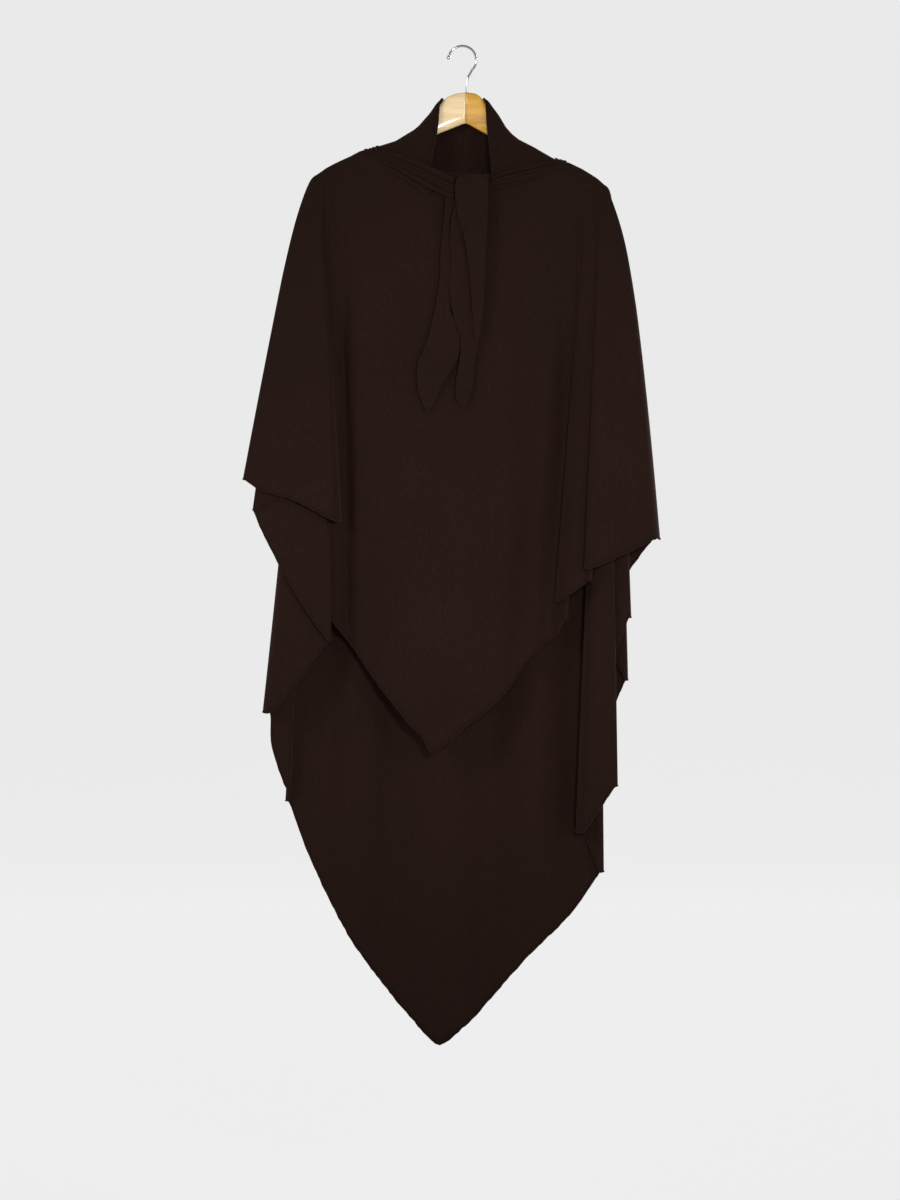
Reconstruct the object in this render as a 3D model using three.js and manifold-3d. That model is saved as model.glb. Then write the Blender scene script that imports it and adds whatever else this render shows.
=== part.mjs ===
// Khimar veil hung on a wooden clothes hanger, in millimetres, +Z up, front towards -Y.
// The origin is the inner top of the hook, where the rail goes.
import * as THREE from "three";
import { mergeVertices } from "three/addons/utils/BufferGeometryUtils.js";
import Module from "manifold-3d";

const wasm = await Module();
wasm.setup();

// Cloth
const wall = 1.5;
const seam = 0.2;
const roll = 10;
const columnStep = 26;
const napeZ = -86;
const napeReach = 38;
const napeBlend = 8;
const foldRing = 10;
const foldTop = 1.2;
const openDrop = 380;
const fallSteps = [0, 0.08, 0.18, 0.3, 0.44, 0.58, 0.72, 0.86, 1];
const rollSteps = [0, 0.34, 0.67];
const hoodSteps = [0, 0.3, 0.65, 1];
const hoodGap = 0.9;
const tieSides = 14;

// Hanger
const hangerX = 4;
const armThickness = 12;
const armRounding = 4.5;
const sweep = 18;
const sweepReach = 215;
const armEnd = { left: 223, right: 210 };

// Hook
const wireRadius = 1.8;
const hookInner = 18.6;
const hookX = -1;
const stemX = 5.8;
const stemBottom = -92;
const ballRadius = 2.7;
const ballSteps = [[178.5, 0.3], [176.5, 0.75], [171, 1], [166, 0.85], [162, 0.667]];
const stemBend = [[11, -37.5], [8.2, -42], [6.4, -47], [5.8, -53]];
const wireSides = 12;
const boreDepth = 40;
const halfBox = 600;

// Finishes
const crepe = { color: 0x3a241f, roughness: 0.95, metalness: 0 };
const paleWood = { color: 0xe0b878, roughness: 0.35, metalness: 0 };
const goldWood = { color: 0xd0a040, roughness: 0.35, metalness: 0 };
const chrome = { color: 0xc8cacc, roughness: 0.12, metalness: 1 };

const group = new THREE.Group();

function add(name, geometry, finish) {
  const mesh = new THREE.Mesh(geometry, new THREE.MeshStandardMaterial(finish));
  mesh.name = name;
  group.add(mesh);
}

// Turns a table with named columns into rows that are read by name
function table(columns, rows) {
  return rows.map((row) => Object.fromEntries(columns.map((column, i) => [column, row[i]])));
}

// Reads a table along x with straight lines between its rows
function along(rows, x, column) {
  const last = rows.length - 1;
  let i = 0;
  while (i < last - 1 && x > rows[i + 1].x) i += 1;
  const share = THREE.MathUtils.clamp((x - rows[i].x) / (rows[i + 1].x - rows[i].x), 0, 1);
  return THREE.MathUtils.lerp(rows[i][column], rows[i + 1][column], share);
}

// The line of the shoulders, where the cloth goes over the hanger
const shoulder = table(["x", "z"], [
  [-223, -188], [-209, -179], [-190, -171], [-164, -160], [-149, -152], [-126, -146], [-98, -137],
  [-67, -118], [-45, -94], [-33, -79], [32, -79], [41, -84], [53, -101], [65, -121], [78, -133],
  [103, -146], [132, -163], [154, -169], [173, -178], [197, -192], [210, -202],
]);

// The line under the ties, where the hood in front ends and the cape begins
const tieLine = table(["x", "z"], [
  [-149, -155], [-120, -171], [-91, -186], [-48, -209], [-12, -220], [36, -209], [97, -190], [151, -177],
]);

function sweptY(x) {
  return -sweep * ((x - hangerX) / sweepReach) ** 2;
}

// Depth of the front cloth along the line under the ties, which stands off between the shoulders
function chestY(x) {
  const edge = sweptY(Math.sign(x) * 150) - roll;
  return THREE.MathUtils.lerp(-28, edge, Math.min(Math.abs(x) / 150, 1) ** 4);
}

// Normals of a grid of points, which may run round in a ring
function normalsOf(grid, closed = false) {
  const last = grid[0].length - 1;
  const at = (r, c) => grid[THREE.MathUtils.clamp(r, 0, grid.length - 1)][c];
  const right = (c) => (c < last ? c + 1 : closed ? 1 : last);
  const left = (c) => (c > 0 ? c - 1 : closed ? last - 1 : 0);
  return grid.map((row, r) => row.map((_, c) => {
    const across = at(r, right(c)).clone().sub(at(r, left(c)));
    const down = at(r + 1, c).clone().sub(at(r - 1, c));
    return down.cross(across).normalize();
  }));
}

// A closed wall round a grid of points, half its thickness to each side
function thicken(grid, normals, thickness) {
  const rows = grid.length;
  const columns = grid[0].length;
  const positions = [];
  for (const side of [1, -1]) {
    for (let r = 0; r < rows; r += 1) {
      for (let c = 0; c < columns; c += 1) {
        const point = grid[r][c].clone().addScaledVector(normals[r][c], (side * thickness) / 2);
        positions.push(point.x, point.y, point.z);
      }
    }
  }
  const size = rows * columns;
  const at = (side, r, c) => side * size + r * columns + c;
  const faces = [];
  const quad = (a, b, c, d) => faces.push(a, b, c, a, c, d);
  for (let r = 0; r < rows - 1; r += 1) {
    for (let c = 0; c < columns - 1; c += 1) {
      quad(at(0, r, c), at(0, r + 1, c), at(0, r + 1, c + 1), at(0, r, c + 1));
      quad(at(1, r, c), at(1, r, c + 1), at(1, r + 1, c + 1), at(1, r + 1, c));
    }
  }
  const [bottom, edge] = [rows - 1, columns - 1];
  for (let c = 0; c < edge; c += 1) {
    quad(at(0, 0, c), at(0, 0, c + 1), at(1, 0, c + 1), at(1, 0, c));
    quad(at(0, bottom, c), at(1, bottom, c), at(1, bottom, c + 1), at(0, bottom, c + 1));
  }
  for (let r = 0; r < bottom; r += 1) {
    quad(at(0, r, 0), at(1, r, 0), at(1, r + 1, 0), at(0, r + 1, 0));
    quad(at(0, r, edge), at(0, r + 1, edge), at(1, r + 1, edge), at(1, r, edge));
  }
  const geometry = new THREE.BufferGeometry();
  geometry.setAttribute("position", new THREE.Float32BufferAttribute(positions, 3));
  geometry.setIndex(faces);
  return geometry;
}

// Where the cloth starts, by the distance along its top. From the middle of the front, distances run out
// along the left arm, round its end and back in behind it, then on behind the right arm and round to the
// front again. Below zero they run out along the right arm in front.
const armTurn = Math.PI * roll;
const backMiddle = 2 * armEnd.left + armTurn;
const topLength = backMiddle + 2 * armEnd.right + armTurn;

function topOfCloth(place) {
  const left = place >= 0 && place <= backMiddle;
  const sign = left ? -1 : 1;
  const end = left ? armEnd.left : armEnd.right;
  const distance = place > backMiddle ? topLength - place : Math.abs(place);
  if (distance > end && distance < end + armTurn) {
    const angle = ((distance - end) / armTurn) * Math.PI;
    const start = new THREE.Vector3(sign * end, sweptY(sign * end), along(shoulder, sign * end, "z"));
    const out = new THREE.Vector3(sign * Math.sin(angle), -Math.cos(angle), 0);
    start.addScaledVector(out, 3 * seam);
    return { start, over: start.clone().addScaledVector(out, roll).setZ(start.z - roll) };
  }
  const behind = distance > end;
  const x = sign * (behind ? 2 * end + armTurn - distance : distance);
  if (!behind && x > tieLine[0].x && x < tieLine.at(-1).x) {
    const start = new THREE.Vector3(x, chestY(x), along(tieLine, x, "z"));
    return { start, over: start.clone().setZ(start.z - roll) };
  }
  const ridge = new THREE.Vector3(x, sweptY(x) + (behind ? seam : -seam), along(shoulder, x, "z"));
  const nape = behind ? THREE.MathUtils.clamp((napeReach - Math.abs(x)) / napeBlend, 0, 1) : 0;
  const start = ridge.clone().lerp(new THREE.Vector3(x, ridge.y + roll, napeZ), nape);
  return { start, over: new THREE.Vector3(x, ridge.y + (behind ? roll : -roll), start.z - roll) };
}

// Three stations for a turned fold, one for a plain place on the hem
function stationsOf(rows, topOf) {
  return rows.flatMap((row, i) => {
    const { fold, spread, settle } = row;
    if (row.depthIn === row.depthOut) {
      const hem = new THREE.Vector3(row.hemX, row.depthIn, row.hemZ);
      return [{ fold, spread, settle, top: topOf(row.top), hem }];
    }
    const bulge = Math.sign(2 * row.hemX - rows[i - 1].hemX - rows[i + 1].hemX);
    const ring = Math.min(Math.abs(row.depthOut - row.depthIn) / 2, foldRing);
    return [-1, 0, 1].map((turn) => {
      const x = row.hemX - (turn === 0 ? 0 : bulge * ring);
      const y = THREE.MathUtils.lerp(row.depthIn, row.depthOut, (turn + 1) / 2);
      const hem = new THREE.Vector3(x, y, row.hemZ);
      return { fold, spread, settle, top: topOf(row.top + foldTop * turn), hem, edge: turn === 0 };
    });
  });
}

// Points from a start on the shoulder line over to the front or back of the arm
function rolledOver(start, over) {
  return rollSteps.map((step) => {
    const angle = (step * Math.PI) / 2;
    const level = THREE.MathUtils.lerp(start.z, over.z, 1 - Math.cos(angle));
    return start.clone().lerp(over, Math.sin(angle)).setZ(level);
  });
}

// Points down the cloth at one place of the ring: over the arm, then falling to the hem
function fallAt(stations, hemCurve, place) {
  const hem = hemCurve.getPoint(place / stations.length);
  const from = stations[Math.floor(place) % stations.length];
  const to = stations[Math.ceil(place) % stations.length];
  const share = place - Math.floor(place);
  const spread = THREE.MathUtils.lerp(from.spread, to.spread, share);
  const settle = THREE.MathUtils.lerp(from.settle, to.settle, share);
  const ahead = to.top < from.top ? to.top + topLength : to.top;
  const { start, over } = topOfCloth(wrapTop(THREE.MathUtils.lerp(from.top, ahead, share)));
  const fallen = fallSteps.map((fall) => {
    const z = THREE.MathUtils.lerp(over.z, hem.z, fall);
    const x = THREE.MathUtils.lerp(over.x, hem.x, Math.min(fall / settle, 1) ** spread);
    const y = THREE.MathUtils.lerp(over.y, hem.y, Math.min((over.z - z) / openDrop, 1));
    return new THREE.Vector3(x, y, z);
  });
  return [...rolledOver(start, over), ...fallen];
}

function wrapTop(place) {
  return place > topLength - armEnd.right - armTurn / 2 ? place - topLength : place;
}

// Places along the hem, from the front point round one side to the back point. At a turned fold the
// cloth lies at the first depth before the turn and at the second after it.
const hemColumns = ["fold", "top", "hemX", "depthIn", "depthOut", "hemZ", "spread", "settle"];

const leftHem = table(hemColumns, [
  ["point", 0, -46, -34, -34, -1024, 1, 1],
  ["panel", 40, -77, -34, -34, -984, 1, 1],
  ["panel", 80, -130, -33, -33, -916, 1, 1],
  ["panel", 130, -175, -31, -31, -853, 1, 1],
  ["panel", 148.5, -185, -30, -30, -841, 1, 1],
  ["panel", 150, -188, -30, -30, -837, 1, 1],
  ["tuck_under_flap", 190, -229, -27, -35, -775, 1, 1],
  ["flap_edge", 212, -176, -35, -64, -689, 0.8, 1],
  ["flap", 220, -235, -66, -66, -666, 0.9, 1],
  ["flap", 228, -290, -66, -66, -645, 0.95, 1],
  ["side_edge", 236, -317.6, -66, -56, -630, 0.95, 1],
  ["upper_fold", 240, -294, -54, -54, -695, 1, 1],
  ["upper_fold", 243, -244, -52, -52, -791, 1, 1],
  ["upper_fold_edge", 246, -191, -51, -44, -862, 1.5, 0.8],
  ["lower_fold", 249.5, -241, -43, -43, -923, 1.2, 1],
  ["lower_fold_edge", 253, -290, -42, -16, -966, 1.3, 1],
  ["outer_fold", 257, -277, -10, -10, -1015, 1.2, 1],
  ["outer_fold_edge", 261, -251, -6, 0, -1080, 1.1, 1],
  ["tuck_behind", 267, -258, 4, 11, -1096, 1, 1],
  ["panel", 290, -223, 14, 14, -1177, 1, 1],
  ["panel", 325, -164, 8, 8, -1295, 1, 1],
  ["panel", 370, -96, 16, 16, -1388, 1, 1],
  ["panel", 400, -70, 17, 17, -1418, 1, 1],
  ["panel", 420, -57, 18, 18, -1433, 1, 1],
  ["nape", 436, -46, 18, 18, -1444, 1, 1],
  ["nape", 446, -40, 18, 18, -1449, 1, 1],
  ["back_point", 477, -34, 18, 18, -1452, 1, 1],
]);

const rightHem = table(hemColumns, [
  ["panel", 40, 0, -36, -36, -990, 1, 1],
  ["panel", 75, 51, -38, -38, -949, 1, 1],
  ["valley", 110, 93, -32, -32, -891, 1, 1],
  ["panel", 140, 127, -38, -38, -859, 1, 1],
  ["panel", 150.5, 135, -38, -38, -853, 1, 1],
  ["panel", 152, 138, -38, -38, -850, 1, 1],
  ["tuck_under_fold", 170, 152, -38, -45, -831, 1, 1],
  ["small_fold_edge", 181, 133, -45, -54, -806, 1, 1],
  ["small_fold", 188, 162, -54, -54, -790, 1, 1],
  ["tuck_under_flap", 194, 186, -54, -61, -776, 1, 1],
  ["flap_edge", 201, 175, -61, -74, -759, 0.9, 1],
  ["flap", 208, 232, -74, -74, -738, 0.7, 1],
  ["side_edge", 214, 285, -72, -6, -716, 0.6, 1],
  ["inner_tuck", 219, 215, -4, -10, -790, 0.9, 1],
  ["first_ruffle", 223, 244, -10, -16, -829, 0.9, 1],
  ["tuck_behind_band", 227, 207, -16, 2, -885, 0.9, 1],
  ["second_ruffle", 231, 240, 2, 8, -920, 0.9, 1],
  ["tuck_behind_band", 236, 198, 8, -22, -980, 0.9, 1],
  ["band_edge", 242, 224, -22, -29, -1074, 0.9, 1],
  ["band_fold", 249, 164, -29, 14, -1140, 1, 1],
  ["last_ruffle", 256, 205, 14, 23, -1200, 1, 1],
  ["panel", 275, 159, 22, 22, -1258, 1, 1],
  ["panel", 310, 91, 12, 12, -1326, 1, 1],
  ["panel", 360, 19, 20, 20, -1409, 1, 1],
  ["panel", 380, 8, 19, 19, -1419, 1, 1],
  ["panel", 398, -2, 18, 18, -1428, 1, 1],
  ["nape", 411, -12, 18, 18, -1437, 1, 1],
  ["nape", 421, -20, 18, 18, -1444, 1, 1],
  ["nape", 437, -27, 18, 18, -1448, 1, 1],
]);

// The whole cape as one ring of cloth, cut into its front and its back at the two side edges
function buildCape() {
  const ring = [
    ...stationsOf(leftHem, (top) => top),
    ...stationsOf(rightHem, (top) => topLength - top).reverse(),
  ];
  const edges = ring.flatMap((station, i) => (station.fold === "side_edge" && station.edge ? [i] : []));
  const stations = [...ring.slice(edges[1]), ...ring.slice(0, edges[1])];
  const cutStation = edges[0] + ring.length - edges[1];
  const hemCurve = new THREE.CatmullRomCurve3(stations.map((station) => station.hem), true, "centripetal");
  const places = [0];
  let cut = 0;
  stations.forEach((station, i) => {
    if (i === cutStation) cut = places.length - 1;
    const next = stations[(i + 1) % stations.length];
    const parts = Math.max(1, Math.round(station.hem.distanceTo(next.hem) / columnStep));
    for (let k = 1; k <= parts; k += 1) places.push(i + k / parts);
  });
  const columns = places.map((place) => fallAt(stations, hemCurve, place));
  const grid = columns[0].map((_, r) => columns.map((points) => points[r]));
  const normals = normalsOf(grid, true);
  const piece = (from, to) => {
    const points = grid.map((row) => {
      const part = row.slice(from, to + 1).map((point) => point.clone());
      part[0].lerp(part[1], seam / part[0].distanceTo(part[1]));
      part.at(-1).lerp(part.at(-2), seam / part.at(-1).distanceTo(part.at(-2)));
      return part;
    });
    return thicken(points, normals.map((row) => row.slice(from, to + 1)), wall);
  };
  add("cape_front", piece(0, cut), crepe);
  add("cape_back", piece(cut, places.length - 1), crepe);
}

buildCape();

// The front of the hood: over the left arm, down the left edge of the face opening, along the chin edge,
// up the right edge and over the right arm. Below it ends on the line under the ties.
const hoodOverLeft = table(["topX", "bottomX"], [
  [-143, -141], [-126, -122], [-98, -97], [-67, -78], [-48, -68], [-37, -62],
]);
const faceOpening = table(["edge", "x", "y", "z", "bottomX"], [
  ["left", -35, -10, -89, -59],
  ["left", -37, -13, -108, -56],
  ["left", -42, -19, -140, -52],
  ["left", -47, -24, -171, -48],
  ["chin", -43, -25, -178, -42],
  ["chin", -22, -27, -181, -22],
  ["chin", -3, -27.5, -185, 0],
  ["chin", 20, -27, -186, 18],
  ["chin", 40, -25, -187, 38],
  ["right", 41, -24, -172, 44],
  ["right", 39, -20, -150, 50],
  ["right", 36, -14, -115, 58],
  ["right", 34, -10, -90, 64],
]);
const hoodOverRight = table(["topX", "bottomX"], [
  [36, 68], [44, 76], [53, 84], [65, 92], [78, 98], [103, 112], [132, 134], [148, 147],
]);

function buildHood() {
  const bottomAt = (x) => new THREE.Vector3(x, chestY(x), along(tieLine, x, "z") + hoodGap);
  const overArm = (rows) => rows.map(({ topX, bottomX }) => {
    const start = new THREE.Vector3(topX, sweptY(topX) - seam, along(shoulder, topX, "z"));
    const bottom = bottomAt(bottomX);
    const level = Math.max(start.z - roll, THREE.MathUtils.lerp(start.z, bottom.z, 0.6));
    return { start, over: new THREE.Vector3(topX, start.y - roll, level), bottom };
  });
  const round = faceOpening.map(({ x, y, z, bottomX }) => {
    const start = new THREE.Vector3(x, y, z);
    const bottom = bottomAt(bottomX);
    return { start, over: start.clone().lerp(bottom, 0.15), bottom };
  });
  const columns = [...overArm(hoodOverLeft), ...round, ...overArm(hoodOverRight)].map((column) => {
    const { start, over, bottom } = column;
    return [...rolledOver(start, over), ...hoodSteps.map((step) => over.clone().lerp(bottom, step))];
  });
  const grid = columns[0].map((_, r) => columns.map((points) => points[r]));
  add("hood_front", thicken(grid, normalsOf(grid), wall), crepe);
}

buildHood();

// A closed body through rings of points, with a flat cap at each end
function loft(rings) {
  const sides = rings[0].length;
  const centre = (ring) => ring.reduce((sum, p) => sum.add(p), new THREE.Vector3()).divideScalar(sides);
  const points = [...rings.flat(), centre(rings[0]), centre(rings.at(-1))];
  const faces = [];
  const last = (rings.length - 1) * sides;
  for (let i = 0; i < sides; i += 1) {
    const next = (i + 1) % sides;
    for (let r = 0; r < last; r += sides) {
      faces.push(r + i, r + next, r + sides + next, r + i, r + sides + next, r + sides + i);
    }
    faces.push(points.length - 2, next, i, points.length - 1, last + i, last + next);
  }
  const volume = (a, b, c) => points[a].dot(points[b].clone().cross(points[c]));
  let total = 0;
  for (let i = 0; i < faces.length; i += 3) total += volume(faces[i], faces[i + 1], faces[i + 2]);
  const geometry = new THREE.BufferGeometry();
  geometry.setAttribute("position", new THREE.Float32BufferAttribute(points.flatMap((p) => p.toArray()), 3));
  geometry.setIndex(total < 0 ? faces.reverse() : faces);
  return geometry;
}

// An oval ring of points from its centre and its two half axes
function oval(centre, across, thick, sides) {
  return Array.from({ length: sides }, (_, i) => {
    const angle = (i / sides) * 2 * Math.PI;
    return centre.clone().addScaledVector(across, Math.cos(angle)).addScaledVector(thick, Math.sin(angle));
  });
}

function solidOf(geometry) {
  const bare = geometry.clone();
  for (const name of Object.keys(bare.attributes)) if (name !== "position") bare.deleteAttribute(name);
  const merged = mergeVertices(bare, 1e-4);
  const vertProperties = new Float32Array(merged.attributes.position.array);
  const triVerts = new Uint32Array(merged.index.array);
  return new wasm.Manifold(new wasm.Mesh({ numProp: 3, vertProperties, triVerts }));
}

function geometryOf(solid) {
  const { vertProperties, triVerts } = solid.getMesh();
  const geometry = new THREE.BufferGeometry();
  geometry.setAttribute("position", new THREE.Float32BufferAttribute(vertProperties, 3));
  geometry.setIndex(Array.from(triVerts));
  return geometry;
}

// The knot, and the ties and tails that end against it
const knotCentre = new THREE.Vector3(12, -38, -205);
const knotHalf = new THREE.Vector3(24, 8.5, 16);
const knotGap = 0.4;

function knotBody(grow) {
  const body = new THREE.SphereGeometry(1, 20, 12);
  body.scale(knotHalf.x + grow, knotHalf.y + grow, knotHalf.z + grow);
  return body.translate(...knotCentre.toArray());
}

const tieColumns = ["x", "y", "z", "acrossX", "acrossZ", "thickY", "thickZ"];
const ties = {
  strap_left: table(tieColumns, [
    [-140, -6, -144.5, 11.5, 3, 0, 2.4],
    [-137.5, -20, -146.5, 9.5, 6, -1.7, 1.7],
    [-129, -27, -156, 6.5, 9.5, -2.2, 1],
    [-98, -30.4, -174, 5.5, 11, -2.6, 0],
    [-55, -32, -194, 7, 14, -2.6, 0],
    [-20, -32.4, -206, 5, 14, -2.6, 0],
    [8, -34, -209, 2, 10, -2.6, 0],
  ]),
  strap_right: table(tieColumns, [
    [147, -7, -161, 9, -3.2, 0, 2.4],
    [144, -20, -164.5, 7, -5, 1.7, 1.7],
    [134, -27, -174, 3, -7.5, 2.2, 1],
    [104, -31, -187, 2.5, -9.6, 2.6, 0],
    [61, -32.4, -198, 2, -7.4, 2.6, 0],
    [34, -33, -203, 1.5, -6.6, 2.6, 0],
    [16, -35, -205, 1, -6, 2.6, 0],
  ]),
};
const tailColumns = ["left", "right", "y", "z", "thick"];
const tails = {
  tail_left: table(tailColumns, [
    [-22, -8, -40.6, -207, 3],
    [-26, -12, -40.2, -222, 3.2],
    [-25, -14, -39, -250, 3.4],
    [-32, -13, -38.5, -318, 3.4],
    [-38, -11, -38.5, -357, 3.2],
    [-48, -4, -38.5, -403, 3],
    [-56, -2, -38.5, -437, 2.8],
    [-66, -16, -38.5, -466, 2.6],
    [-65, -34, -38.5, -500, 2.4],
    [-56, -46, -38.5, -523, 2],
    [-52, -50, -38.5, -530, 1.5],
  ]),
  tail_right: table(tailColumns, [
    [-8, 33, -43, -204, 3.6],
    [-10, 35.4, -46, -224, 3.6],
    [-6, 35, -46, -288, 3.6],
    [-7, 31, -46, -357, 3.6],
    [-3, 24, -46, -426, 3.6],
    [-3, 16, -46, -465, 3.4],
    [-9, 14, -46, -492, 3],
    [-8, 9, -46, -511, 2.6],
    [-3, 1, -46, -524, 1.5],
  ]),
};

function buildTies() {
  const knot = solidOf(knotBody(knotGap));
  for (const [name, rows] of Object.entries(ties)) {
    const rings = rows.map((row) => oval(
      new THREE.Vector3(row.x, row.y, row.z),
      new THREE.Vector3(row.acrossX, 0, row.acrossZ),
      new THREE.Vector3(0, row.thickY, row.thickZ),
      tieSides,
    ));
    add(name, geometryOf(solidOf(loft(rings)).subtract(knot)), crepe);
  }
  for (const [name, rows] of Object.entries(tails)) {
    const rings = rows.map((row) => oval(
      new THREE.Vector3((row.left + row.right) / 2, row.y, row.z),
      new THREE.Vector3((row.right - row.left) / 2, 0, 0),
      new THREE.Vector3(0, -row.thick, 0),
      tieSides,
    ));
    add(name, geometryOf(solidOf(loft(rings)).subtract(knot)), crepe);
  }
  add("tie_knot", knotBody(0), crepe);
}

buildTies();

// The hanger, cut from one outline into its two halves, with a hole for the stem of the hook
const armTop = table(["x", "z"], [
  [-220, -189], [-209, -182.5], [-190, -174], [-149, -155.5], [-126, -149.5], [-98, -141], [-67, -122.5],
  [-45, -99], [-35, -86], [-26, -74], [-12, -67.5], [4, -65.4], [20, -67.5], [29, -75], [35, -85], [41, -91],
  [53, -105], [65, -125], [78, -137], [103, -150], [132, -166.5], [154, -173], [173, -182], [197, -196],
  [207, -203],
]);
const armBottom = table(["x", "z"], [
  [218, -212], [214, -224], [206, -228], [173, -209], [132, -186], [98, -163], [34, -127], [4, -110.3],
  [-38, -127], [-98, -158], [-149, -181], [-190, -200], [-220, -214], [-229, -208], [-231, -198],
]);

function buildHanger() {
  const outline = new THREE.Shape();
  outline.moveTo(armTop[0].x, armTop[0].z);
  outline.splineThru(armTop.slice(1).map(({ x, z }) => new THREE.Vector2(x, z)));
  for (const { x, z } of armBottom) outline.lineTo(x, z);
  const board = new THREE.ExtrudeGeometry(outline, {
    depth: armThickness - 2 * armRounding,
    bevelThickness: armRounding,
    bevelSize: armRounding,
    bevelOffset: -armRounding,
    bevelSegments: 3,
    curveSegments: 2,
  });
  board.translate(0, 0, armRounding - armThickness / 2).rotateX(Math.PI / 2);
  const position = board.attributes.position;
  for (let i = 0; i < position.count; i += 1) position.setY(i, position.getY(i) + sweptY(position.getX(i)));
  const bore = new THREE.CylinderGeometry(wireRadius + seam, wireRadius + seam, boreDepth, wireSides);
  bore.rotateX(Math.PI / 2).translate(stemX, 0, stemBottom - 1 + boreDepth / 2);
  const whole = solidOf(board).subtract(solidOf(bore));
  for (const [name, sign, finish] of [["hanger_arm_left", -1, paleWood], ["hanger_arm_right", 1, goldWood]]) {
    const half = new THREE.BoxGeometry(halfBox, halfBox, halfBox);
    half.translate(hangerX + sign * (halfBox / 2 + seam), 0, 0);
    add(name, geometryOf(whole.intersect(solidOf(half))), finish);
  }
}

buildHanger();

// The hook: a ball at its tip, an arc over the rail, and a stem that goes down into the wood
function buildHook() {
  const radius = hookInner + wireRadius;
  const onArc = (degrees) => {
    const angle = THREE.MathUtils.degToRad(degrees);
    return new THREE.Vector3(hookX + radius * Math.cos(angle), 0, -hookInner + radius * Math.sin(angle));
  };
  const path = [];
  for (const [degrees, size] of ballSteps) path.push([onArc(degrees), size * ballRadius]);
  for (let degrees = 155; degrees >= -45; degrees -= 12.5) path.push([onArc(degrees), wireRadius]);
  for (const [x, z] of stemBend) path.push([new THREE.Vector3(x, 0, z), wireRadius]);
  path.push([new THREE.Vector3(stemX, 0, stemBottom), wireRadius]);
  const depth = new THREE.Vector3(0, 1, 0);
  const rings = path.map(([point, size], i) => {
    const ahead = path[Math.min(i + 1, path.length - 1)][0];
    const behind = path[Math.max(i - 1, 0)][0];
    const across = ahead.clone().sub(behind).cross(depth).normalize();
    return oval(point, across.multiplyScalar(size), depth.clone().multiplyScalar(size), wireSides);
  });
  add("hanger_hook", loft(rings), chrome);
}

buildHook();

export default group;
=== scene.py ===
import math

import bpy
import numpy as np
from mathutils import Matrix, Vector, noise


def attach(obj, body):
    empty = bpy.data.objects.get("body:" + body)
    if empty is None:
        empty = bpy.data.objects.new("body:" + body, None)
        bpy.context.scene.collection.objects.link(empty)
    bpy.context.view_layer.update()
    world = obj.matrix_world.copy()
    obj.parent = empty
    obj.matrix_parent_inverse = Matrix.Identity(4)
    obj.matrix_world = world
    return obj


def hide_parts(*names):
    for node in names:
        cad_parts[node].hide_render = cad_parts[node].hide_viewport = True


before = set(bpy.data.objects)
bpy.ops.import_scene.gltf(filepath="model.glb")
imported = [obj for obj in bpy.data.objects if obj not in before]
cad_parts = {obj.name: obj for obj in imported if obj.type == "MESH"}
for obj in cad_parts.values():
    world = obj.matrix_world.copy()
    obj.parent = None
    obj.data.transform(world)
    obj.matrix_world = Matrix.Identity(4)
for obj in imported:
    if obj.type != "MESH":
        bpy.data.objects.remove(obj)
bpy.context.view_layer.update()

# Studio
# The photograph is a level catalogue view against an even pale sweep, lit softly from the front left.
# A pixel of its 900 by 1200 frame spans 1.45 mm at the veil, whose middle layers are 25 mm towards the lens.
MM = 0.001
FRAME_HEIGHT = 1200 * 1.45 * MM
LENS_DISTANCE = 8.0

camera_data = bpy.data.cameras.new("camera")
camera_data.sensor_width = 36
camera_data.lens = 36 * LENS_DISTANCE / FRAME_HEIGHT
camera = bpy.data.objects.new("camera", camera_data)
camera.location = (-18.85 * MM, -LENS_DISTANCE - 25 * MM, -804 * MM)
camera.rotation_euler = (math.radians(90), 0, 0)
bpy.context.scene.collection.objects.link(camera)
bpy.context.scene.camera = camera


def linear(code):
    """An sRGB hex colour as the linear colour that shaders use."""
    parts = [int(code[i : i + 2], 16) / 255 for i in (1, 3, 5)]
    return (*(p / 12.92 if p <= 0.04045 else ((p + 0.055) / 1.055) ** 2.4 for p in parts), 1)


def add_node(tree, kind, inputs=None, **settings):
    """A shader or geometry node with its settings, and its inputs given as values or as sockets to join."""
    made = tree.nodes.new(kind)
    for name, value in settings.items():
        setattr(made, name, value)
    for name, value in (inputs or {}).items():
        if isinstance(value, bpy.types.NodeSocket):
            tree.links.new(value, made.inputs[name])
        else:
            made.inputs[name].default_value = value
    return made


def new_material(name):
    """A material with an empty tree, its Principled shader and the object coordinates."""
    material = bpy.data.materials.new(name)
    material.use_nodes = True
    tree = material.node_tree
    tree.nodes.clear()
    shader = add_node(tree, "ShaderNodeBsdfPrincipled")
    add_node(tree, "ShaderNodeOutputMaterial", {"Surface": shader.outputs["BSDF"]})
    place = add_node(tree, "ShaderNodeTexCoord").outputs["Object"]
    return material, tree, shader, place


def mesh_object(name, points, faces, material):
    """A smooth-shaded object from points in millimetres."""
    mesh = bpy.data.meshes.new(name)
    mesh.from_pydata((np.asarray(points) * MM).tolist(), [], faces)
    mesh.update()
    mesh.shade_smooth()
    mesh.materials.append(material)
    made = bpy.data.objects.new(name, mesh)
    bpy.context.scene.collection.objects.link(made)
    return made


def soft_light(name, place, target, size, watts, cone=None):
    """A studio light that faces a target: a square softbox, or a spot with a soft round edge."""
    lamp = bpy.data.lights.new(name, "SPOT" if cone else "AREA")
    if cone:
        lamp.shadow_soft_size, lamp.spot_size, lamp.spot_blend = size, math.radians(cone), 1
    else:
        lamp.size = size
    lamp.energy = watts
    made = bpy.data.objects.new(name, lamp)
    made.location = place
    made.rotation_euler = (Vector(target) - Vector(place)).to_track_quat("-Z", "Y").to_euler()
    bpy.context.scene.collection.objects.link(made)
    return made


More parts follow.
